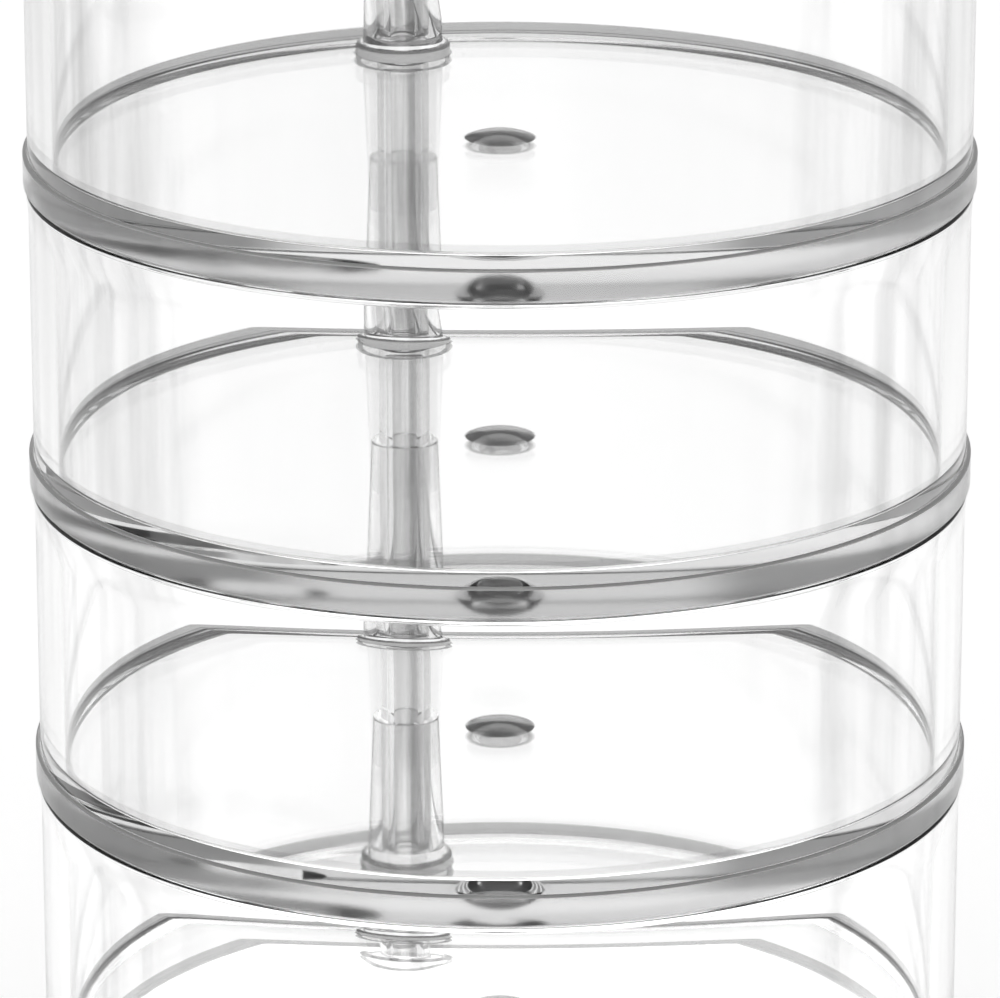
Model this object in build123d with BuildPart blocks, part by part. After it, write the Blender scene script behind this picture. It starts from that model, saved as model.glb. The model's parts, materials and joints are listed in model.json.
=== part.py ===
import os

from build123d import *

os.makedirs("parts", exist_ok=True)

# A tower of four round clear trays on a base, with a lid. Every tray swings sideways about one
# upright pivot line near its rim. Millimetres, +Z up, origin at the middle of the base's underside,
# pivot line on the +Y side.

# Tower
tray_count = 4
ring_radius = 50.0          # outermost: the edge of each floor
ring_step = 0.5             # how far the ring stands out from the wall
ring_height = 3.4
wall_thickness = 2.6
floor_thickness = 4.15      # the floor lies a little above its ring
tray_height = 32.4
running_gap = 0.3           # between a rim and the floor that swings over it
base_height = 9.7

# Edges
ring_round_share = 0.4      # of the ring's step
rim_round = 0.4
corner_round = 0.5          # where the wall meets the floor inside
flare_height = 4.0          # the wall opens out below its rim over this height
flare_rise = 0.3            # and by this much

# Moulding gate in the middle of a floor: a low dome on top, a dimple underneath
gate_radius = 3.7
gate_rise = 0.8
dimple_radius = 3.2
dimple_depth = 2.2

# Pivot
flange_gap = 2.6            # between a flange and the wall beside it
pin_radius = 2.9
pin_bore_radius = 1.4
pin_solid = 1.0             # length of solid pin below the floor, above its bore
pin_tip_bevel = 0.4
bearing_clearance = 0.06
bond_clearance = 0.05
socket_height = 17.7        # above the floor that carries the socket
seat_height = 2.0           # where a pin stands in its socket, above the same floor
socket_top_radius = 3.8
socket_foot_radius = 4.5
socket_lip_round = 0.2
flange_radius = 5.3
flange_thickness = 1.3
flange_round = 0.5
boss_height = 0.8           # above the floor of the base
base_seat_height = 1.3      # where the lowest pin stands in the base
cap_rise = 1.2              # dome of the lid pin's head

# Sizes that follow
wall_radius = ring_radius - ring_step
inner_radius = wall_radius - wall_thickness
rim_radius = wall_radius + flare_rise
ring_round = ring_step * ring_round_share
pitch = tray_height + running_gap
bearing_radius = pin_radius + bearing_clearance
pivot_hole_radius = pin_radius + bond_clearance
pin_length = pitch - floor_thickness - seat_height
base_pin_length = base_height + running_gap - base_seat_height
boss_top = floor_thickness + boss_height
pivot_offset = inner_radius - flange_gap - flange_radius
pivot_line = Axis((0, pivot_offset, 0), (0, 0, 1))


def upright(height, offset=0):
    # A drawing plane standing on a line of turning: x is the radius, y the height.
    return Plane((0, offset, height), x_dir=(1, 0, 0), z_dir=(0, -1, 0))


def underside(number):
    # Height of a tray's underside; the lid counts as one tray more.
    return base_height + running_gap + (number - 1) * pitch


def corners(section, *points):
    # The section's corners at the given places.
    return [section.vertices().sort_by_distance(point)[0] for point in points]


def dome_radius(half_width, rise):
    # Radius of a shallow dome from its half width and its rise.
    return (half_width**2 + rise**2) / (rise + rise)


# Base: a shallow dish with a low boss round the hole for the lowest pin
with BuildPart() as base:
    with BuildSketch(upright(0)) as base_section:
        with BuildLine():
            Polyline(
                (0, 0),
                (ring_radius, 0),
                (ring_radius, ring_height),
                (wall_radius, ring_height),
                (wall_radius, base_height),
                (inner_radius, base_height),
                (inner_radius, floor_thickness),
                (0, floor_thickness),
                close=True,
            )
        make_face()
        fillet(corners(base_section, (ring_radius, 0), (ring_radius, ring_height)), ring_round)
        fillet(corners(base_section, (wall_radius, base_height), (inner_radius, base_height)), rim_round)
        fillet(corners(base_section, (inner_radius, floor_thickness)), corner_round)
    revolve(axis=Axis.Z)
    with BuildSketch(upright(0, pivot_offset)) as boss_section:
        with BuildLine():
            Polyline(
                (0, floor_thickness),
                (flange_radius, floor_thickness),
                (socket_foot_radius, boss_top),
                (0, boss_top),
                close=True,
            )
        make_face()
        fillet(corners(boss_section, (socket_foot_radius, boss_top)), rim_round)
    revolve(axis=pivot_line)
    with Locations((0, pivot_offset, boss_top)):
        Hole(bearing_radius, depth=boss_top - base_seat_height)
base.part.label = "base"
export_step(base.part, "parts/base.step")

# Trays: floor, wall and flared rim in one moulding
for number in range(1, tray_count + 1):
    with BuildPart() as tray:
        with BuildSketch(upright(underside(number))) as tray_section:
            with BuildLine():
                RadiusArc((0, dimple_depth), (dimple_radius, 0), dome_radius(dimple_radius, dimple_depth))
                Polyline(
                    (dimple_radius, 0),
                    (ring_radius, 0),
                    (ring_radius, ring_height),
                    (wall_radius, ring_height),
                    (wall_radius, tray_height - flare_height),
                )
                TangentArc(
                    (wall_radius, tray_height - flare_height),
                    (rim_radius, tray_height),
                    tangent=(0, 1),
                )
                Polyline(
                    (rim_radius, tray_height),
                    (inner_radius, tray_height),
                    (inner_radius, floor_thickness),
                    (gate_radius, floor_thickness),
                )
                RadiusArc(
                    (gate_radius, floor_thickness),
                    (0, floor_thickness + gate_rise),
                    -dome_radius(gate_radius, gate_rise),
                )
                Line((0, floor_thickness + gate_rise), (0, dimple_depth))
            make_face()
            fillet(corners(tray_section, (ring_radius, 0), (ring_radius, ring_height)), ring_round)
            fillet(corners(tray_section, (rim_radius, tray_height), (inner_radius, tray_height)), rim_round)
            fillet(corners(tray_section, (inner_radius, floor_thickness)), corner_round)
        revolve(axis=Axis.Z)
        with Locations((0, pivot_offset, underside(number) + floor_thickness)):
            Hole(pivot_hole_radius)
    tray.part.label = f"tray_{number}"
    export_step(tray.part, f"parts/tray_{number}.step")

# Pivot posts: flange and socket above a tray's floor, a pin below it that is hollow from its tip
bore_end = -floor_thickness - pin_solid
for number in range(1, tray_count + 1):
    reach = base_pin_length if number == 1 else pin_length
    tip = -floor_thickness - reach
    with BuildPart() as post:
        with BuildSketch(upright(underside(number) + floor_thickness, pivot_offset)) as post_section:
            with BuildLine():
                Polyline(
                    (pin_bore_radius, tip),
                    (pin_radius, tip),
                    (pin_radius, 0),
                    (flange_radius, 0),
                    (flange_radius, flange_thickness),
                    (socket_foot_radius, flange_thickness),
                    (socket_top_radius, socket_height),
                    (bearing_radius, socket_height),
                    (bearing_radius, seat_height),
                    (0, seat_height),
                    (0, bore_end),
                    (pin_bore_radius, bore_end),
                    close=True,
                )
            make_face()
            fillet(corners(post_section, (flange_radius, flange_thickness)), flange_round)
            fillet(corners(post_section, (socket_top_radius, socket_height)), socket_lip_round)
            chamfer(corners(post_section, (pin_radius, tip)), pin_tip_bevel)
        revolve(axis=pivot_line)
    post.part.label = f"pivot_post_{number}"
    export_step(post.part, f"parts/pivot_post_{number}.step")

# Lid: a disc as high as a tray's ring, with the same edge
lid_underside = underside(tray_count + 1)
lid_top = lid_underside + ring_height
with BuildPart() as lid:
    with BuildSketch(upright(lid_underside)) as lid_section:
        with BuildLine():
            RadiusArc((0, dimple_depth), (dimple_radius, 0), dome_radius(dimple_radius, dimple_depth))
            Polyline(
                (dimple_radius, 0),
                (ring_radius, 0),
                (ring_radius, ring_height),
                (0, ring_height),
                (0, dimple_depth),
            )
        make_face()
        fillet(corners(lid_section, (ring_radius, 0), (ring_radius, ring_height)), ring_round)
    revolve(axis=Axis.Z)
    with Locations((0, pivot_offset, lid_top)):
        Hole(pivot_hole_radius)
lid.part.label = "lid"
export_step(lid.part, "parts/lid.step")

# Lid pin: a domed head on the lid and a pin that turns in the top socket, hollow from its tip
lid_bore_end = -ring_height - pin_solid
lid_pin_tip = -ring_height - pin_length
with BuildPart() as lid_pin:
    with BuildSketch(upright(lid_top, pivot_offset)) as lid_pin_section:
        with BuildLine():
            Polyline(
                (0, lid_bore_end),
                (pin_bore_radius, lid_bore_end),
                (pin_bore_radius, lid_pin_tip),
                (pin_radius, lid_pin_tip),
                (pin_radius, 0),
                (flange_radius, 0),
                (flange_radius, flange_thickness),
            )
            RadiusArc(
                (flange_radius, flange_thickness),
                (0, flange_thickness + cap_rise),
                -dome_radius(flange_radius, cap_rise),
            )
            Line((0, flange_thickness + cap_rise), (0, lid_bore_end))
        make_face()
        chamfer(corners(lid_pin_section, (pin_radius, lid_pin_tip)), pin_tip_bevel)
    revolve(axis=pivot_line)
lid_pin.part.label = "lid_pin"
export_step(lid_pin.part, "parts/lid_pin.step")
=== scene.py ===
import bpy
import bmesh
import json
import math
from mathutils import Matrix, Vector


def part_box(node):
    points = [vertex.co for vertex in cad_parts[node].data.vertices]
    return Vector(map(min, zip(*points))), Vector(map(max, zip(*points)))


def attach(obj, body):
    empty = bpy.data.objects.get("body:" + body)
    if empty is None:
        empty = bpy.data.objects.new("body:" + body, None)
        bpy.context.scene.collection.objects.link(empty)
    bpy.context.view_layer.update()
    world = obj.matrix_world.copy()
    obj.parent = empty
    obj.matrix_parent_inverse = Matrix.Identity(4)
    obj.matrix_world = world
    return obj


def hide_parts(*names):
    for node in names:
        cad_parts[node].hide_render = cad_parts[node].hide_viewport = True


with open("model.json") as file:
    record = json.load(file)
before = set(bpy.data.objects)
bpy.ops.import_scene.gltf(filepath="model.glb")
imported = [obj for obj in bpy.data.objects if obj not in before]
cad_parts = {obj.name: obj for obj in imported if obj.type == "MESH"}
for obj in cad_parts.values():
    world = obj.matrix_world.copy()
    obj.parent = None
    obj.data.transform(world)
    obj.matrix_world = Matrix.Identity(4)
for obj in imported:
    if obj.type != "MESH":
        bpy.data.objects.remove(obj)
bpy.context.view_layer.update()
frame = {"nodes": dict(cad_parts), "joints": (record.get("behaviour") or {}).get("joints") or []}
scene = bpy.context.scene
mm = 0.001


# Places that the frame gives, in millimetres
def underside(number):
    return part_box(f"tray_{number}")[0].z / mm


pivot = frame["joints"][0]["pos_m"][1] / mm
trayCount = sum(node.startswith("tray_") for node in frame["nodes"])

# Edge ring and wall, shared by trays, base and lid
edgeSizes = dict(
    ring=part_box("tray_1")[1].x / mm, step=0.5, ringHeight=3.4, ringBevel=0.2,
    wall=2.6, floor=4.15, corner=0.5, rimRound=0.4, flare=4.0, flareRise=0.3,
)


# A socket in a node tree: sums with it add Math nodes
class Wire:
    def __init__(self, graph, socket):
        self.graph = graph
        self.socket = socket

    def other(self, name):  # another output of the same node
        return Wire(self.graph, self.socket.node.outputs[name])

    def __add__(self, value):
        return self.graph.maths("ADD", self, value)

    __radd__ = __add__

    def __sub__(self, value):
        return self.graph.maths("SUBTRACT", self, value)

    def __rsub__(self, value):
        return self.graph.maths("SUBTRACT", value, self)

    def __mul__(self, value):
        return self.graph.maths("MULTIPLY", self, value)

    __rmul__ = __mul__

    def __truediv__(self, value):
        return self.graph.maths("DIVIDE", self, value)

    def __gt__(self, value):
        return self.graph.maths("GREATER_THAN", self, value)

    def __lt__(self, value):
        return self.graph.maths("LESS_THAN", self, value)

    def __abs__(self):
        return self.graph.maths("ABSOLUTE", self)


class Graph:
    def __init__(self, tree):
        self.tree = tree

    # Any node: its settings are set first, then its sockets get values, links or lists of links
    def node(self, kind, settings=None, sockets=None, out=0):
        made = self.tree.nodes.new(kind)
        for name, value in (settings or {}).items():
            setattr(made, name, value)
        for name, value in (sockets or {}).items():
            for each in value if isinstance(value, list) else [value]:
                if isinstance(each, Wire):
                    self.tree.links.new(each.socket, made.inputs[name])
                else:
                    made.inputs[name].default_value = each
        return Wire(self, made.outputs[out]) if made.outputs else None

    def maths(self, operation, *values):
        return self.node("ShaderNodeMath", dict(operation=operation), dict(enumerate(values)))

    def grey(self, value):
        return self.node("ShaderNodeCombineColor", None, {"Red": value, "Green": value, "Blue": value})

    # A value eased from one level to another between two bounds
    def eased(self, value, low, high, start, end):
        return self.node("ShaderNodeMapRange", dict(interpolation_type="SMOOTHSTEP"),
                         {"Value": value, "From Min": low, "From Max": high, "To Min": start, "To Max": end})


# Finish of every piece: clear moulded plastic with painted shade on walls, corners, rings, posts and gates, a
# painted highlight on the ring edges, and smears in its roughness. Sizes in millimetres; patches are noises
# with their cycles in a millimetre along X, Y and Z, and the levels between which they show
clearLook = dict(
    ior=1.49,
    grey=3.0,                                          # light lost for each metre of plastic
    roughness=0.012,
    smears=dict(stretch=(0.07, 0.07, 0.07), detail=2.0, low=0.5, high=0.8, most=0.03),
    fade=0.2,                                          # width over which one finish gives way to the next
    ringRoughness=0.09,                                # the rings are less polished than the rest
    ringFootShade=0.2, footFrom=0.3, footTo=0.6,            # and painted shade at their foot, by shares of their height
    ringHighlight=0.7, ringHighlightWhite=0.8,                       # their upper edge has a painted white highlight
    wallSideShade=0.25, wallSideShadeFrom=26.0, wallSideShadeTo=44.0,             # painted shade on the walls towards their sides, across the bearing below
    streaks=dict(stretch=(0.16, 0.16, 0.014), detail=3.0, low=0.47, high=0.65),
    turn=-16.2,                                        # bearing of those shaded sides, and of the painted dark line on the posts
    postShade=0.4, postShadeTo=5.6,                          # painted shade on pins and sockets
    postShadePatches=dict(stretch=(0.5, 0.5, 0.02), detail=2.0, low=0.45, high=0.65, least=0.1, most=0.9),
    postDarkLine=0.9, postDarkLineAt=1.3, postDarkLineWidth=1.0,
    flange=0.85, flangeFrom=4.6,
    gate=0.93, gateTo=4.1, gateFade=0.8, gateRoughness=0.1,  # painted shade over the broken stub of the moulding gate and its dome; the stub is also rougher
    cornerShade=0.85, cornerShadeFront=0.3, cornerShadeReach=20.0, cornerShadeRise=1.1,  # painted shade in the corner of each floor, most of it behind
)


def clearPlastic(look, k):
    material = bpy.data.materials.new("clear_plastic")
    material.use_nodes = True
    material.node_tree.nodes.clear()
    g = Graph(material.node_tree)
    place = g.node("ShaderNodeTexCoord", out="Object")
    sized = g.node("ShaderNodeVectorMath", dict(operation="SCALE"), {0: place, "Scale": 1 / mm})
    x = g.node("ShaderNodeSeparateXYZ", None, {"Vector": sized})
    y, z = x.other("Y"), x.other("Z")

    def patches(stretch, detail, low, high, least=0.0, most=1.0):
        spread = g.node("ShaderNodeMapping", None, {"Vector": sized, "Scale": stretch})
        noise = g.node("ShaderNodeTexNoise", None, {"Vector": spread, "Scale": 1.0, "Detail": detail})
        return g.eased(noise, low, high, least, most)

    fromMiddle = g.maths("SQRT", x * x + y * y)
    behind = y - pivot
    fromPivot = g.maths("SQRT", x * x + behind * behind)
    outer = k["ring"] - k["step"]
    inner = outer - k["wall"]
    pitch = underside(2) - underside(1)
    aboveFoot = g.maths("FRACT", (z - underside(1)) / pitch) * pitch  # height in the tray's own level
    soft = look["fade"]

    # Painted shade in faint upright streaks on the walls, towards their sides
    onWall = g.eased(fromMiddle, inner - 1.5 * soft, inner - 0.5 * soft, 0.0, 1.0)
    turn = math.radians(look["turn"])
    aside = abs(x * math.cos(turn) + y * math.sin(turn))
    atSide = g.eased(aside, look["wallSideShadeFrom"], look["wallSideShadeTo"], 0.0, look["wallSideShade"])
    wallSideShade = onWall * atSide * patches(**look["streaks"])

    # Painted shade in the corner between floor and wall, of a tray or of the base, darker behind
    half = look["cornerShadeRise"] / 2
    fromCorner = g.maths("MINIMUM", abs(aboveFoot - k["floor"] - half), abs(z - k["floor"] - half))
    inCorner = g.eased(fromCorner, half, half + soft, 1.0, 0.0)
    fromCorner = abs(fromMiddle - inner + k["corner"] / 2)
    inCorner = inCorner * g.eased(fromCorner, 1.5 * soft, 2.5 * soft, 1.0, 0.0)
    cornerShade = inCorner * g.eased(y, -look["cornerShadeReach"], look["cornerShadeReach"], look["cornerShadeFront"], look["cornerShade"])

    # Painted shade on pins and sockets, with one painted dark line, and painted darker flanges
    fromLine = abs(x * math.cos(turn) + behind * math.sin(turn) - look["postDarkLineAt"])
    postDarkLine = g.eased(fromLine, look["postDarkLineWidth"] / 2, look["postDarkLineWidth"], look["postDarkLine"], 0.0)
    postShade = look["postShade"] * g.maths("MAXIMUM", postDarkLine, patches(**look["postShadePatches"]))
    flange = g.eased(fromPivot, look["flangeFrom"], look["flangeFrom"] + soft, 0.0, look["flange"])
    postShade = g.maths("MAXIMUM", postShade, flange)
    postShade = postShade * g.eased(fromPivot, look["postShadeTo"] - soft, look["postShadeTo"], 1.0, 0.0)

    # Outer face of each ring, with painted shade at its foot and a painted white highlight on its upper edge
    onRing = g.eased(fromMiddle, outer + soft, outer + 2 * soft, 0.0, 1.0)
    upRing = aboveFoot / k["ringHeight"]
    footShade = onRing * g.eased(upRing, look["footFrom"], look["footTo"], look["ringFootShade"], 0.0)
    edge = g.eased(abs(aboveFoot - k["ringHeight"]), soft, 1.5 * soft, look["ringHighlight"], 0.0)
    edge = edge * g.eased(fromMiddle, outer, outer + 0.5 * soft, 0.0, 1.0)

    # Painted shade over the moulding gate in the middle of each floor, the base's and lid's too; the spot is
    # rougher as well
    gateShadeSpot = g.eased(fromMiddle, look["gateTo"] - look["gateFade"], look["gateTo"], 1.0, 0.0)
    # Base colour: the product of the painted shades above
    tone = (1 - wallSideShade) * (1 - cornerShade) * (1 - postShade) * (1 - look["gate"] * gateShadeSpot) * (1 - footShade)
    shine = look["roughness"] + patches(**look["smears"]) + look["ringRoughness"] * onRing
    shine = shine + look["gateRoughness"] * gateShadeSpot
    clear = g.node("ShaderNodeBsdfPrincipled", None, {
        "Base Color": g.grey(tone), "Roughness": shine, "IOR": look["ior"], "Transmission Weight": 1.0})
    # Diffuse white mixed in at the ring's upper edge as a painted highlight
    white = g.node("ShaderNodeBsdfDiffuse", None, {"Color": (look["ringHighlightWhite"],) * 3 + (1,)})
    shader = g.node("ShaderNodeMixShader", None, {0: edge, 1: clear, 2: white})
    depth = g.node("ShaderNodeVolumeAbsorption", None, {"Color": (0, 0, 0, 1), "Density": look["grey"]})
    g.node("ShaderNodeOutputMaterial", None, {"Surface": shader, "Volume": depth})
    return material


plastic = clearPlastic(clearLook, edgeSizes)

# Turned pieces: a tree turns the profiles of a piece about their upright lines and closes its two flat faces
turning = dict(segments=288, sharp=50.0, weld=1e-6, apart=0.1)


def turnTree():
    tree = bpy.data.node_groups.new("turnedPlastic", "GeometryNodeTree")
    inputs = dict(Profiles="Geometry", Segments="Int", LowerFlat="Float", UpperFlat="Float", Sharp="Float",
                  Weld="Float", Finish="Material")
    for name, kind in inputs.items():
        tree.interface.new_socket(name, in_out="INPUT", socket_type="NodeSocket" + kind)
    tree.interface.new_socket("Mesh", in_out="OUTPUT", socket_type="NodeSocketGeometry")
    g = Graph(tree)
    profiles = g.node("NodeGroupInput")
    segments, weld = profiles.other("Segments"), profiles.other("Weld")
    position = g.node("GeometryNodeInputPosition")
    index = g.node("GeometryNodeInputIndex")

    def sampled(value, kind, ring):
        return g.node("GeometryNodeSampleIndex", dict(data_type=kind, domain="POINT"),
                      {"Geometry": profiles, "Value": value, "Index": ring})

    def named(attribute):
        return g.node("GeometryNodeInputNamedAttribute", dict(data_type="FLOAT"), {"Name": attribute})

    # A grid with one row for each point of the profiles and one column for each step round
    around = segments + 1
    count = g.node("GeometryNodeAttributeDomainSize", dict(component="MESH"), {"Geometry": profiles})
    grid = g.node("GeometryNodeMeshGrid", None, {"Vertices X": count, "Vertices Y": around})
    ring = g.maths("FLOOR", (index + 0.5) / around)
    angle = (index - ring * around) * (2 * math.pi) / segments
    turned = g.node("ShaderNodeVectorRotate", dict(rotation_type="Z_AXIS"),
                    {"Vector": sampled(position, "FLOAT_VECTOR", ring), "Angle": angle})
    line = g.node("ShaderNodeCombineXYZ", None, {"Y": sampled(named("line"), "FLOAT", ring)})
    placed = g.node("ShaderNodeVectorMath", dict(operation="ADD"), {0: turned, 1: line})
    skin = g.node("GeometryNodeSetPosition", None, {"Geometry": grid, "Position": placed})
    chain = g.node("GeometryNodeFieldOnDomain", dict(domain="POINT", data_type="FLOAT"),
                   {"Value": sampled(named("chain"), "FLOAT", ring)})
    between = g.maths("FRACT", chain) > turning["apart"]  # faces that would join one profile to the next
    skin = g.node("GeometryNodeDeleteGeometry", dict(domain="FACE"), {"Geometry": skin, "Selection": between})
    skin = g.node("GeometryNodeMergeByDistance", None, {"Geometry": skin, "Distance": weld})
    skin = g.node("GeometryNodeSetShadeSmooth", dict(domain="FACE"), {"Geometry": skin, "Shade Smooth": True})

    # The open rims at one height, filled as one flat face with its holes
    def flat(height):
        level = g.node("ShaderNodeSeparateXYZ", None, {"Vector": position}, out="Z")
        faces = g.node("GeometryNodeInputMeshEdgeNeighbors")
        rims = g.node("GeometryNodeMeshToCurve", None,
                      {"Mesh": skin, "Selection": (abs(level - height) < weld) * (faces < 2)})
        filled = g.node("GeometryNodeFillCurve", dict(mode="TRIANGLES"), {"Curve": rims})
        lift = g.node("ShaderNodeCombineXYZ", None, {"Z": height})
        raised = g.node("GeometryNodeSetPosition", None, {"Geometry": filled, "Offset": lift})
        return g.node("GeometryNodeSetShadeSmooth", dict(domain="FACE"),
                      {"Geometry": raised, "Shade Smooth": False})

    flats = [flat(profiles.other("LowerFlat")), flat(profiles.other("UpperFlat"))]
    whole = g.node("GeometryNodeJoinGeometry", None, {"Geometry": [skin] + flats})
    whole = g.node("GeometryNodeMergeByDistance", None, {"Geometry": whole, "Distance": weld})
    bend = g.node("GeometryNodeInputMeshEdgeAngle")
    whole = g.node("GeometryNodeSetShadeSmooth", dict(domain="EDGE"),
                   {"Geometry": whole, "Selection": bend > profiles.other("Sharp"), "Shade Smooth": False})
    whole = g.node("GeometryNodeRealizeInstances", None, {"Geometry": whole})
    whole = g.node("GeometryNodeSetMaterial", None, {"Geometry": whole, "Material": profiles.other("Finish")})
    g.node("NodeGroupOutput", None, {"Mesh": whole})
    return tree


lathe = turnTree()


# Parts of a profile: points of radius and height, in millimetres
profileSteps = dict(corner=10, flare=20, dome=14, guard=0.06, guardShare=0.25, same=1e-4)


def arc(centre, radius, start, end, steps):
    turns = [math.radians(start + (end - start) * i / steps) for i in range(steps + 1)]
    return [(centre[0] + radius * math.cos(a), centre[1] + radius * math.sin(a)) for a in turns]


# Straight runs, with a point close to each end, so that rounded shading stays at the corners
def run(*corners):
    points = []
    for start, end in zip(corners, corners[1:]):
        share = min(profileSteps["guard"] / math.dist(start, end), profileSteps["guardShare"])
        points += [tuple(s + (e - s) * t for s, e in zip(start, end)) for t in (0, share, 1 - share, 1)]
    return points


def dome(radius, rise, height):  # from the rim to the middle of a shallow dome
    sphere = (radius ** 2 + rise ** 2) / (2 * rise)
    reach = math.degrees(math.asin(radius / sphere))
    return arc((0, height + rise - sphere), sphere, 90 - reach, 90, profileSteps["dome"])


def joined(*stretches):
    points = []
    for stretch in stretches:
        points += [p for p in stretch if not points or math.dist(points[-1], p) > profileSteps["same"]]
    return points


# Straight runs through corners, each a radius, a height and the radius of its rounding
def rounded(*corners):
    steps = profileSteps["corner"]
    stretches = []
    for i, (radius, height, soft) in enumerate(corners):
        corner = Vector((radius, height))
        stretch = [corner]
        if soft:
            back, on = [(Vector(corners[i + way][:2]) - corner).normalized() for way in (-1, 1)]
            half = back.angle(on) / 2
            centre = corner + (back + on).normalized() * soft / math.sin(half)
            spoke = corner + back * soft / math.tan(half) - centre
            sweep = math.copysign(math.pi - 2 * half, on.cross(back))
            stretch = [centre + Matrix.Rotation(sweep * j / steps, 2) @ spoke for j in range(steps + 1)]
        stretches.append([tuple(p) for p in stretch])
    parts = stretches[:1]
    for stretch in stretches[1:]:
        if math.dist(parts[-1][-1], stretch[0]) > profileSteps["same"]:
            parts.append(run(parts[-1][-1], stretch[0]))
        parts.append(stretch)
    return joined(*parts)


# One piece from its profiles, each a list of points and the offset of its turning line
def turnedPiece(name, profiles, lowerFlat, upperFlat):
    points = [(r * mm, 0, z * mm) for stretch, line in profiles for r, z in stretch]
    mesh = bpy.data.meshes.new(name)
    mesh.from_pydata(points, [], [])
    lines = [line * mm for stretch, line in profiles for p in stretch]
    chains = [float(i) for i, (stretch, line) in enumerate(profiles) for p in stretch]
    for label, values in (("line", lines), ("chain", chains)):
        mesh.attributes.new(label, "FLOAT", "POINT").data.foreach_set("value", values)
    piece = bpy.data.objects.new(name, mesh)
    scene.collection.objects.link(piece)
    modifier = piece.modifiers.new("turned", "NODES")
    modifier.node_group = lathe
    sizes = dict(Segments=turning["segments"], LowerFlat=lowerFlat * mm, UpperFlat=upperFlat * mm,
                 Sharp=math.radians(turning["sharp"]), Weld=turning["weld"], Finish=plastic)
    for socket in lathe.interface.items_tree:
        if socket.name in sizes:
            modifier[socket.identifier] = sizes[socket.name]
    shaped = bpy.data.meshes.new_from_object(piece.evaluated_get(bpy.context.evaluated_depsgraph_get()))
    piece.modifiers.remove(modifier)
    piece.data = shaped
    bpy.data.meshes.remove(mesh)
    bm = bmesh.new()
    bm.from_mesh(shaped)
    bmesh.ops.recalc_face_normals(bm, faces=bm.faces)
    bm.to_mesh(shaped)
    openEdges = sum(not edge.is_manifold for edge in bm.edges)
    volume = round(bm.calc_volume() / mm ** 3)
    print(name, "faces", len(bm.faces), "open edges", openEdges, "volume mm3", volume)
    bm.free()
    shaped.name = name
    return piece


# Profiles of the edge ring, with bevelled edges, and of the wall above it
def ringEdge(low, k):
    high, bevel = low + k["ringHeight"], k["ringBevel"]
    inside = k["ring"] - bevel
    return joined([(inside, low)], run((k["ring"], low + bevel), (k["ring"], high - bevel)), [(inside, high)])


def wallAbove(low, high, flareRise, k):
    outer, inner, soft = k["ring"] - k["step"], k["ring"] - k["step"] - k["wall"], k["rimRound"]
    floorTop = low + k["floor"]
    if flareRise:
        bow = (k["flare"] ** 2 + flareRise ** 2) / (2 * flareRise)
        lean = math.degrees(math.asin((k["flare"] - soft) / bow))
        opening = arc((outer + bow, high - k["flare"]), bow, 180, 180 - lean, profileSteps["flare"])
    else:
        lean = 0
        opening = [(outer, high - soft)]
    rimOut = opening[-1][0] - soft
    steps = profileSteps["corner"]
    return joined(
        run((outer, low + k["ringHeight"]), (outer, opening[0][1])),
        opening,
        arc((rimOut, high - soft), soft, -lean, 90, steps),
        run((rimOut, high), (inner + soft, high)),
        arc((inner + soft, high - soft), soft, 90, 180, steps),
        run((inner, high - soft), (inner, floorTop + k["corner"])),
        arc((inner - k["corner"], floorTop + k["corner"]), k["corner"], 0, -90, steps),
    )


# Moulding gate in the middle of a floor
gateSizes = dict(radius=3.7, rise=0.8, dimple=3.2, depth=2.2)

# Pivot posts: flange and socket above a floor, and a pin below it that is hollow from its tip
postSizes = dict(
    pin=2.9, bore=1.4, solid=1.0, bevel=0.4, bearing=2.96, seat=2.0, socket=17.7,
    socketTop=3.8, socketFoot=4.5, lip=0.2, flange=5.3, flangeHeight=1.3, flangeRound=0.5,
)


def pinProfile(low, tip, k):
    end = low - k["solid"]
    return rounded((0, end, 0), (k["bore"], end, 0), (k["bore"], tip, 0), (k["pin"] - k["bevel"], tip, 0),
                   (k["pin"], tip + k["bevel"], 0), (k["pin"], low, 0))


def postProfile(number, k):
    low = underside(number)
    top = low + edgeSizes["floor"]
    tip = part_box(f"pivot_post_{number}")[0].z / mm
    ledge, mouth, seat = top + k["flangeHeight"], top + k["socket"], top + k["seat"]
    socket = rounded((k["flange"], top, 0), (k["flange"], ledge, k["flangeRound"]), (k["socketFoot"], ledge, 0),
                     (k["socketTop"], mouth, k["lip"]), (k["bearing"], mouth, 0), (k["bearing"], seat, 0),
                     (0, seat, 0))
    return socket, pinProfile(low, tip, k)


for number in range(1, trayCount + 1):
    low = underside(number)
    floorTop = low + edgeSizes["floor"]
    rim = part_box(f"tray_{number}")[1].z / mm
    shell = joined(ringEdge(low, edgeSizes), wallAbove(low, rim, edgeSizes["flareRise"], edgeSizes))
    profiles = [
        (shell, 0),
        (dome(gateSizes["radius"], gateSizes["rise"], floorTop), 0),
        (dome(gateSizes["dimple"], gateSizes["depth"], low), 0),
    ] + [(stretch, pivot) for stretch in postProfile(number, postSizes)]
    level = turnedPiece(f"level_{number}_tray_and_post", profiles, low, floorTop)
    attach(level, f"level_{number}")
    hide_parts(f"tray_{number}", f"pivot_post_{number}")
print("trays and posts made")

# Base: a shallow dish with a low boss round the hole for the lowest pin
bossSizes = dict(height=0.8, seat=1.3, round=0.4)


def bossProfile(k, post):
    floorTop = edgeSizes["floor"]
    top = floorTop + k["height"]
    return rounded((post["flange"], floorTop, 0), (post["socketFoot"], top, k["round"]),
                   (post["bearing"], top, 0), (post["bearing"], k["seat"], 0), (0, k["seat"], 0))


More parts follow.
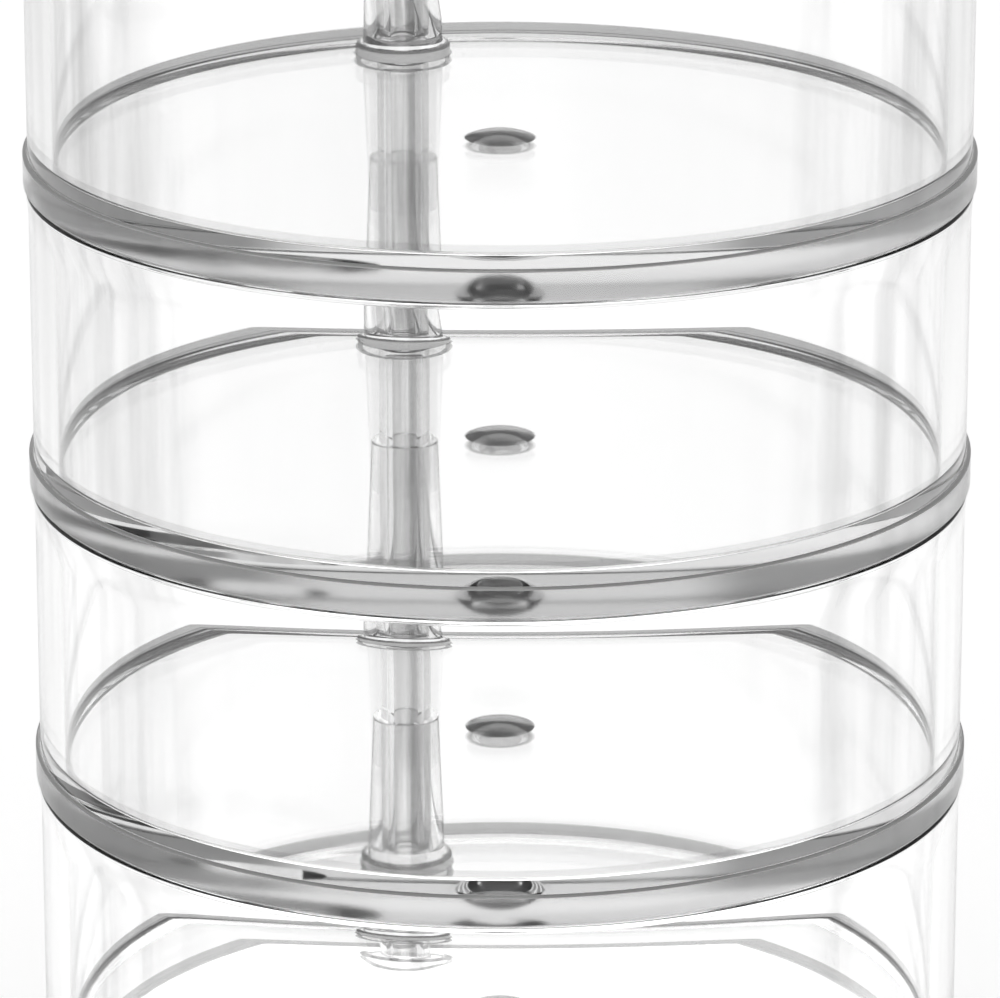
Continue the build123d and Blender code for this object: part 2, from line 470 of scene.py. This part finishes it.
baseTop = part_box("base")[1].z / mm
dish = joined(ringEdge(0, edgeSizes), wallAbove(0, baseTop, 0, edgeSizes))
boss = bossProfile(bossSizes, postSizes)
base = turnedPiece("base_dish", [(dish, 0), (boss, pivot)], 0, edgeSizes["floor"])
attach(base, "base_body")
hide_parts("base")
print("base made")

# Lid: a disc with the same edge as a tray, and the pin that turns in the top socket
lidSizes = dict(capRise=1.2)


def capProfile(high, k, post):
    brow = high + post["flangeHeight"]
    return joined(run((post["flange"], high), (post["flange"], brow)), dome(post["flange"], k["capRise"], brow))


lidLow, lidTop = [corner.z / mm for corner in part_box("lid")]
profiles = [
    (ringEdge(lidLow, edgeSizes), 0),
    (dome(gateSizes["dimple"], gateSizes["depth"], lidLow), 0),
    (capProfile(lidTop, lidSizes, postSizes), pivot),
    (pinProfile(lidLow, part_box("lid_pin")[0].z / mm, postSizes), pivot),
]
lid = turnedPiece("lid_and_pin", profiles, lidLow, lidTop)
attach(lid, "lid_body")
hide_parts("lid", "lid_pin")
print("lid made")

# Studio: a white table, brightest in front of and behind the tower, and white screens that stand in a ring,
# with dim gaps between them and a dim ceiling
studio = dict(
    table=6.0, tableWhite=0.8, glow=0.69, throughGlow=0.84, sheen=0.52,
    sideGlow=0.75, sideFrom=0.08, sideTo=0.3, turn=-16.2,
    screens=4, firstScreen=73.8, screen=0.88, screenTop=0.4, ceilingFrom=0.6, ceiling=0.35,
    gap=0.4, gapLean=0.1, gapShare=0.3, gapFade=0.05,
)


def whiteTable(look):
    mesh = bpy.data.meshes.new("table")
    reach = look["table"]
    corners = [(-reach, -reach, 0), (reach, -reach, 0), (reach, reach, 0), (-reach, reach, 0)]
    mesh.from_pydata(corners, [], [(0, 1, 2, 3)])
    table = bpy.data.objects.new("table", mesh)
    scene.collection.objects.link(table)
    material = bpy.data.materials.new("table_white")
    material.use_nodes = True
    material.node_tree.nodes.clear()
    g = Graph(material.node_tree)
    x = g.node("ShaderNodeSeparateXYZ", None, {"Vector": g.node("ShaderNodeTexCoord", out="Object")})
    turn = math.radians(look["turn"])
    aside = abs(x * math.cos(turn) + x.other("Y") * math.sin(turn))
    pool = g.eased(aside, look["sideFrom"], look["sideTo"], 1.0, look["sideGlow"])
    path = g.node("ShaderNodeLightPath", out="Is Camera Ray")
    through = look["throughGlow"] * path.other("Is Transmission Ray")
    mirrored = look["sheen"] * path.other("Is Glossy Ray")
    seen = look["glow"] * path + pool * g.maths("MAXIMUM", through, mirrored)
    glow = g.node("ShaderNodeEmission", None, {"Color": g.grey(seen)})
    matt = g.node("ShaderNodeBsdfDiffuse", None, {"Color": (look["tableWhite"],) * 3 + (1,)})
    both = g.node("ShaderNodeAddShader", None, {0: glow, 1: matt})
    g.node("ShaderNodeOutputMaterial", None, {"Surface": both})
    mesh.materials.append(material)


def softDome(look):
    scene.world = bpy.data.worlds.new("studio")
    scene.world.use_nodes = True
    scene.world.node_tree.nodes.clear()
    g = Graph(scene.world.node_tree)
    towards = g.node("ShaderNodeTexCoord", out="Generated")
    split = g.node("ShaderNodeSeparateXYZ", None, {"Vector": towards})
    bearing = g.maths("ARCTAN2", split.other("Y"), split) * (look["screens"] / (2 * math.pi))
    fromGap = abs(g.maths("FRACT", bearing - look["firstScreen"] * look["screens"] / 360) - 0.5)
    dim = look["gap"] - look["gapLean"] * split
    near, far = look["gapShare"] - look["gapFade"], look["gapShare"] + look["gapFade"]
    screens = g.eased(fromGap, near, far, dim, look["screen"])
    up = g.eased(split.other("Z"), look["screenTop"], look["ceilingFrom"], 0.0, 1.0)
    level = screens + up * (look["ceiling"] - screens)
    sky = g.node("ShaderNodeBackground", None, {"Color": (1, 1, 1, 1), "Strength": level})
    g.node("ShaderNodeOutputWorld", None, {"Surface": sky})


whiteTable(studio)
softDome(studio)
scene.view_settings.view_transform = "Standard"
for paths, most in dict(max_bounces=48, transmission_bounces=48, glossy_bounces=8).items():
    setattr(scene.cycles, paths, most)

# Camera at the photograph's view
shot = dict(azimuth=-16.2, elevation=17.65, distance=0.694, aim=(0, 0, 0.0722),
            lens=234.1, sensor=36.0, clip=0.01)


def makeCamera(look):
    data = bpy.data.cameras.new("camera")
    data.lens, data.sensor_width, data.clip_start = look["lens"], look["sensor"], look["clip"]
    camera = bpy.data.objects.new("camera", data)
    scene.collection.objects.link(camera)
    a, e = math.radians(look["azimuth"]), math.radians(look["elevation"])
    away = Vector((math.sin(a) * math.cos(e), -math.cos(a) * math.cos(e), math.sin(e)))
    camera.location = Vector(look["aim"]) + away * look["distance"]
    camera.rotation_euler = (-away).to_track_quat("-Z", "Y").to_euler()
    scene.camera = camera


makeCamera(shot)
print("studio and camera made")
